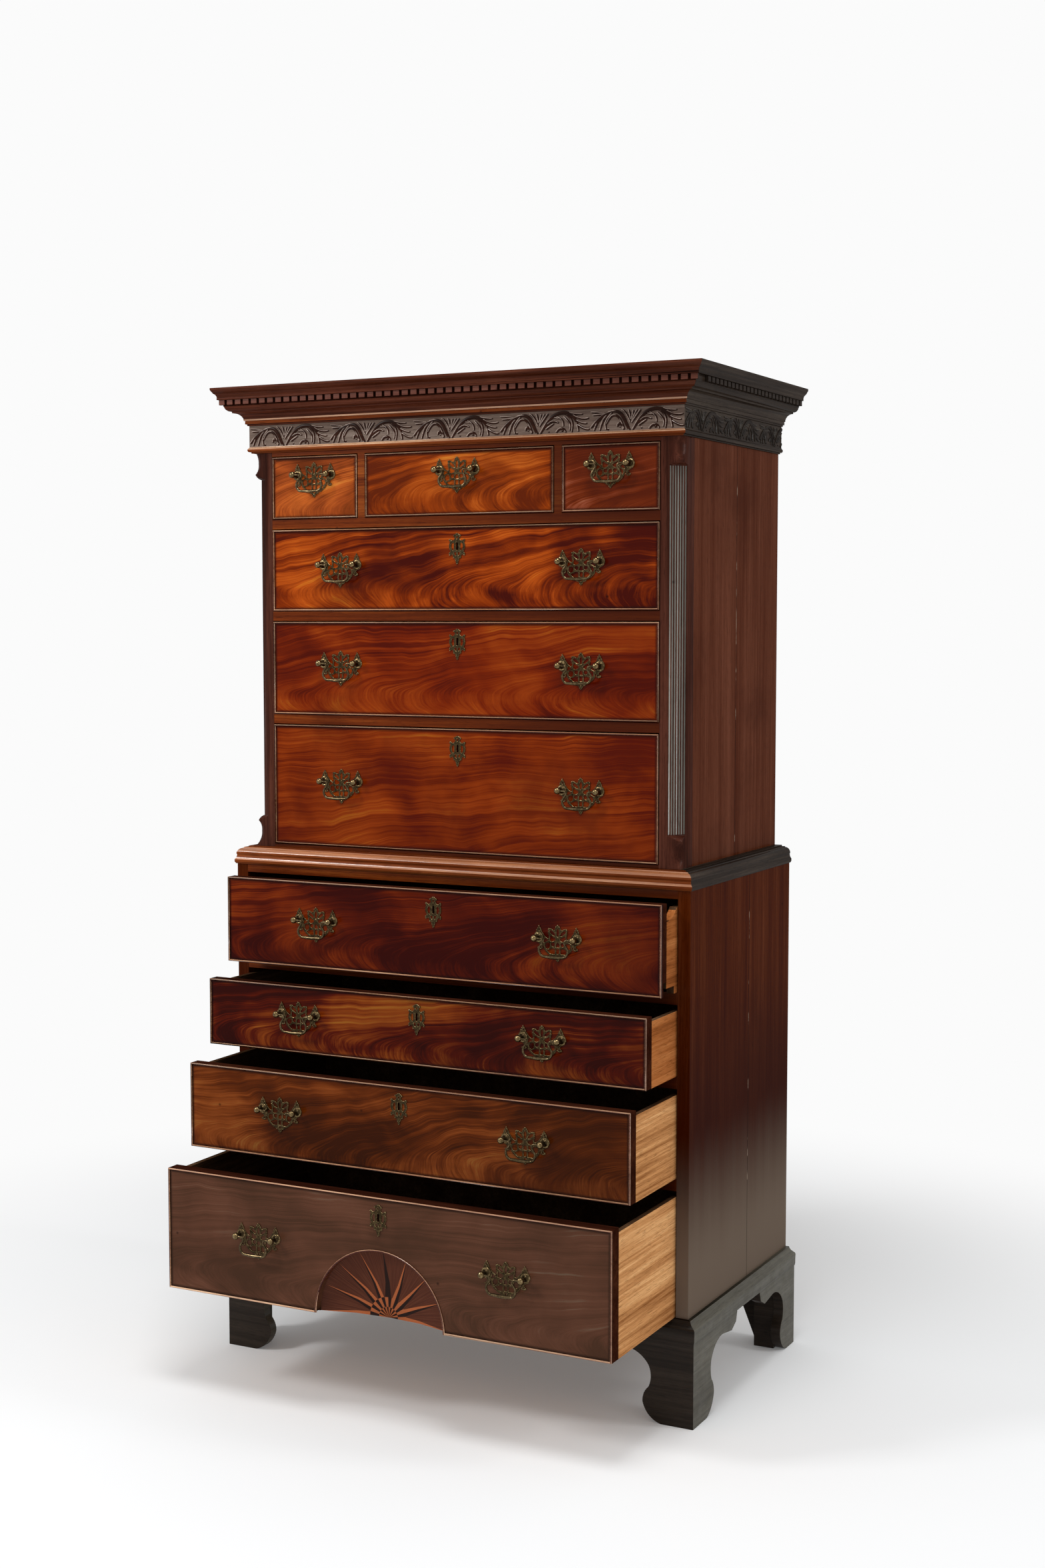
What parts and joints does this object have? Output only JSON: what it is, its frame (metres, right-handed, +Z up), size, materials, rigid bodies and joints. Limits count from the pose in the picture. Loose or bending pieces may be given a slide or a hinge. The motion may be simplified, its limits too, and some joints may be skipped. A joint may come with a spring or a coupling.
{
  "type": "chest on chest",
  "caption": "Tall two-part chest of drawers with canted fluted corners, dentil cornice, bracket feet and a fall-front secretaire drawer.",
  "frame": {"origin": "on the floor under the middle of the whole footprint, drawers as open as in the picture and with the handle posts", "axes": "+X to the right for someone who faces the front, +Y from the front to the wall behind, +Z up"},
  "size_m": [1.028, 0.8074, 1.9],
  "materials": {
    "mahogany_case": "polished dark mahogany",
    "mahogany_front": "polished figured mahogany",
    "oak": "dry oak lining",
    "brass": "old lacquered brass"
  },
  "bodies": {
    "case": {"lower_sides": "mahogany_case", "lower_dustboards": "oak", "lower_rails": "mahogany_case", "lower_back": "oak", "base_moulding": "mahogany_case", "bracket_feet": "mahogany_case", "waist_moulding": "mahogany_case", "upper_sides": "mahogany_case", "upper_dustboards": "oak", "upper_rails": "mahogany_case", "upper_back": "oak", "canted_corners": "mahogany_case", "frieze": "mahogany_case", "cornice": "mahogany_case"},
    "sunburst_drawer": {"sunburst_drawer_front": "mahogany_front", "sunburst_drawer_box": "oak", "sunburst_drawer_brasses": "brass"},
    "sunburst_drawer_bail_left": {"sunburst_drawer_bail_left": "brass"},
    "sunburst_drawer_bail_right": {"sunburst_drawer_bail_right": "brass"},
    "lower_third_drawer": {"lower_third_drawer_front": "mahogany_front", "lower_third_drawer_box": "oak", "lower_third_drawer_brasses": "brass"},
    "lower_third_drawer_bail_left": {"lower_third_drawer_bail_left": "brass"},
    "lower_third_drawer_bail_right": {"lower_third_drawer_bail_right": "brass"},
    "lower_second_drawer": {"lower_second_drawer_front": "mahogany_front", "lower_second_drawer_box": "oak", "lower_second_drawer_brasses": "brass"},
    "lower_second_drawer_bail_left": {"lower_second_drawer_bail_left": "brass"},
    "lower_second_drawer_bail_right": {"lower_second_drawer_bail_right": "brass"},
    "secretaire_drawer": {"secretaire_box": "oak", "secretaire_hinges": "brass"},
    "fall": {"fall_front": "mahogany_front", "fall_brasses": "brass", "quadrant_stays": "brass"},
    "fall_bail_left": {"fall_bail_left": "brass"},
    "fall_bail_right": {"fall_bail_right": "brass"},
    "upper_third_drawer": {"upper_third_drawer_front": "mahogany_front", "upper_third_drawer_box": "oak", "upper_third_drawer_brasses": "brass"},
    "upper_third_drawer_bail_left": {"upper_third_drawer_bail_left": "brass"},
    "upper_third_drawer_bail_right": {"upper_third_drawer_bail_right": "brass"},
    "upper_second_drawer": {"upper_second_drawer_front": "mahogany_front", "upper_second_drawer_box": "oak", "upper_second_drawer_brasses": "brass"},
    "upper_second_drawer_bail_left": {"upper_second_drawer_bail_left": "brass"},
    "upper_second_drawer_bail_right": {"upper_second_drawer_bail_right": "brass"},
    "upper_first_drawer": {"upper_first_drawer_front": "mahogany_front", "upper_first_drawer_box": "oak", "upper_first_drawer_brasses": "brass"},
    "upper_first_drawer_bail_left": {"upper_first_drawer_bail_left": "brass"},
    "upper_first_drawer_bail_right": {"upper_first_drawer_bail_right": "brass"},
    "short_drawer_left": {"short_drawer_left": "mahogany_front", "short_drawer_left_brasses": "brass"},
    "short_drawer_left_bail": {"short_drawer_left_bail": "brass"},
    "short_drawer_middle": {"short_drawer_middle": "mahogany_front", "short_drawer_middle_brasses": "brass"},
    "short_drawer_middle_bail": {"short_drawer_middle_bail": "brass"},
    "short_drawer_right": {"short_drawer_right": "mahogany_front", "short_drawer_right_brasses": "brass"},
    "short_drawer_right_bail": {"short_drawer_right_bail": "brass"}
  },
  "joints": [
    {"name": "sunburst_drawer_slide", "type": "slide", "parent": "case", "child": "sunburst_drawer", "axis": [0, -1, 0], "range_m": [-0.2724, 0.1276]},
    {"name": "sunburst_drawer_bail_left_swing", "type": "hinge", "parent": "sunburst_drawer", "child": "sunburst_drawer_bail_left", "pos_m": [-0.2565, -0.3982, 0.3205], "axis": [-1, 0, 0], "range_deg": [0, 110]},
    {"name": "sunburst_drawer_bail_right_swing", "type": "hinge", "parent": "sunburst_drawer", "child": "sunburst_drawer_bail_right", "pos_m": [0.2565, -0.3982, 0.3205], "axis": [-1, 0, 0], "range_deg": [0, 110]},
    {"name": "lower_third_drawer_slide", "type": "slide", "parent": "case", "child": "lower_third_drawer", "axis": [0, -1, 0], "range_m": [-0.1982, 0.2018]},
    {"name": "lower_third_drawer_bail_left_swing", "type": "hinge", "parent": "lower_third_drawer", "child": "lower_third_drawer_bail_left", "pos_m": [-0.2565, -0.324, 0.5408], "axis": [-1, 0, 0], "range_deg": [-82, 28]},
    {"name": "lower_third_drawer_bail_right_swing", "type": "hinge", "parent": "lower_third_drawer", "child": "lower_third_drawer_bail_right", "pos_m": [0.2565, -0.324, 0.5408], "axis": [-1, 0, 0], "range_deg": [0, 110]},
    {"name": "lower_second_drawer_slide", "type": "slide", "parent": "case", "child": "lower_second_drawer", "axis": [0, -1, 0], "range_m": [-0.1327, 0.2673]},
    {"name": "lower_second_drawer_bail_left_swing", "type": "hinge", "parent": "lower_second_drawer", "child": "lower_second_drawer_bail_left", "pos_m": [-0.2565, -0.2585, 0.7101], "axis": [-1, 0, 0], "range_deg": [0, 110]},
    {"name": "lower_second_drawer_bail_right_swing", "type": "hinge", "parent": "lower_second_drawer", "child": "lower_second_drawer_bail_right", "pos_m": [0.2565, -0.2585, 0.7101], "axis": [-1, 0, 0], "range_deg": [0, 110]},
    {"name": "secretaire_slide", "type": "slide", "parent": "case", "child": "secretaire_drawer", "axis": [0, -1, 0], "range_m": [-0.0694, 0.3306]},
    {"name": "fall_hinge", "type": "hinge", "parent": "secretaire_drawer", "child": "fall", "pos_m": [0, -0.1537, 0.8139], "axis": [1, 0, 0], "range_deg": [0, 90]},
    {"name": "fall_bail_left_swing", "type": "hinge", "parent": "fall", "child": "fall_bail_left", "pos_m": [-0.2565, -0.1952, 0.8814], "axis": [-1, 0, 0], "range_deg": [0, 110]},
    {"name": "fall_bail_right_swing", "type": "hinge", "parent": "fall", "child": "fall_bail_right", "pos_m": [0.2565, -0.1952, 0.8814], "axis": [-1, 0, 0], "range_deg": [0, 110]},
    {"name": "upper_third_drawer_slide", "type": "slide", "parent": "case", "child": "upper_third_drawer", "axis": [0, -1, 0], "range_m": [0, 0.4]},
    {"name": "upper_third_drawer_bail_left_swing", "type": "hinge", "parent": "upper_third_drawer", "child": "upper_third_drawer_bail_left", "pos_m": [-0.2565, -0.1008, 1.14015], "axis": [-1, 0, 0], "range_deg": [0, 110]},
    {"name": "upper_third_drawer_bail_right_swing", "type": "hinge", "parent": "upper_third_drawer", "child": "upper_third_drawer_bail_right", "pos_m": [0.2565, -0.1008, 1.14015], "axis": [-1, 0, 0], "range_deg": [0, 110]},
    {"name": "upper_second_drawer_slide", "type": "slide", "parent": "case", "child": "upper_second_drawer", "axis": [0, -1, 0], "range_m": [0, 0.4]},
    {"name": "upper_second_drawer_bail_left_swing", "type": "hinge", "parent": "upper_second_drawer", "child": "upper_second_drawer_bail_left", "pos_m": [-0.2565, -0.1008, 1.36818], "axis": [-1, 0, 0], "range_deg": [0, 110]},
    {"name": "upper_second_drawer_bail_right_swing", "type": "hinge", "parent": "upper_second_drawer", "child": "upper_second_drawer_bail_right", "pos_m": [0.2565, -0.1008, 1.36818], "axis": [-1, 0, 0], "range_deg": [0, 110]},
    {"name": "upper_first_drawer_slide", "type": "slide", "parent": "case", "child": "upper_first_drawer", "axis": [0, -1, 0], "range_m": [0, 0.4]},
    {"name": "upper_first_drawer_bail_left_swing", "type": "hinge", "parent": "upper_first_drawer", "child": "upper_first_drawer_bail_left", "pos_m": [-0.2565, -0.1008, 1.55727], "axis": [-1, 0, 0], "range_deg": [0, 110]},
    {"name": "upper_first_drawer_bail_right_swing", "type": "hinge", "parent": "upper_first_drawer", "child": "upper_first_drawer_bail_right", "pos_m": [0.2565, -0.1008, 1.55727], "axis": [-1, 0, 0], "range_deg": [0, 110]},
    {"name": "short_drawer_left_slide", "type": "slide", "parent": "case", "child": "short_drawer_left", "axis": [0, -1, 0], "range_m": [0, 0.4]},
    {"name": "short_drawer_left_bail_swing", "type": "hinge", "parent": "short_drawer_left", "child": "short_drawer_left_bail", "pos_m": [-0.31405, -0.1008, 1.73039], "axis": [-1, 0, 0], "range_deg": [0, 110]},
    {"name": "short_drawer_middle_slide", "type": "slide", "parent": "case", "child": "short_drawer_middle", "axis": [0, -1, 0], "range_m": [0, 0.4]},
    {"name": "short_drawer_middle_bail_swing", "type": "hinge", "parent": "short_drawer_middle", "child": "short_drawer_middle_bail", "pos_m": [0, -0.1008, 1.73039], "axis": [-1, 0, 0], "range_deg": [0, 110]},
    {"name": "short_drawer_right_slide", "type": "slide", "parent": "case", "child": "short_drawer_right", "axis": [0, -1, 0], "range_m": [0, 0.4]},
    {"name": "short_drawer_right_bail_swing", "type": "hinge", "parent": "short_drawer_right", "child": "short_drawer_right_bail", "pos_m": [0.31405, -0.1008, 1.73039], "axis": [-1, 0, 0], "range_deg": [0, 110]}
  ]
}
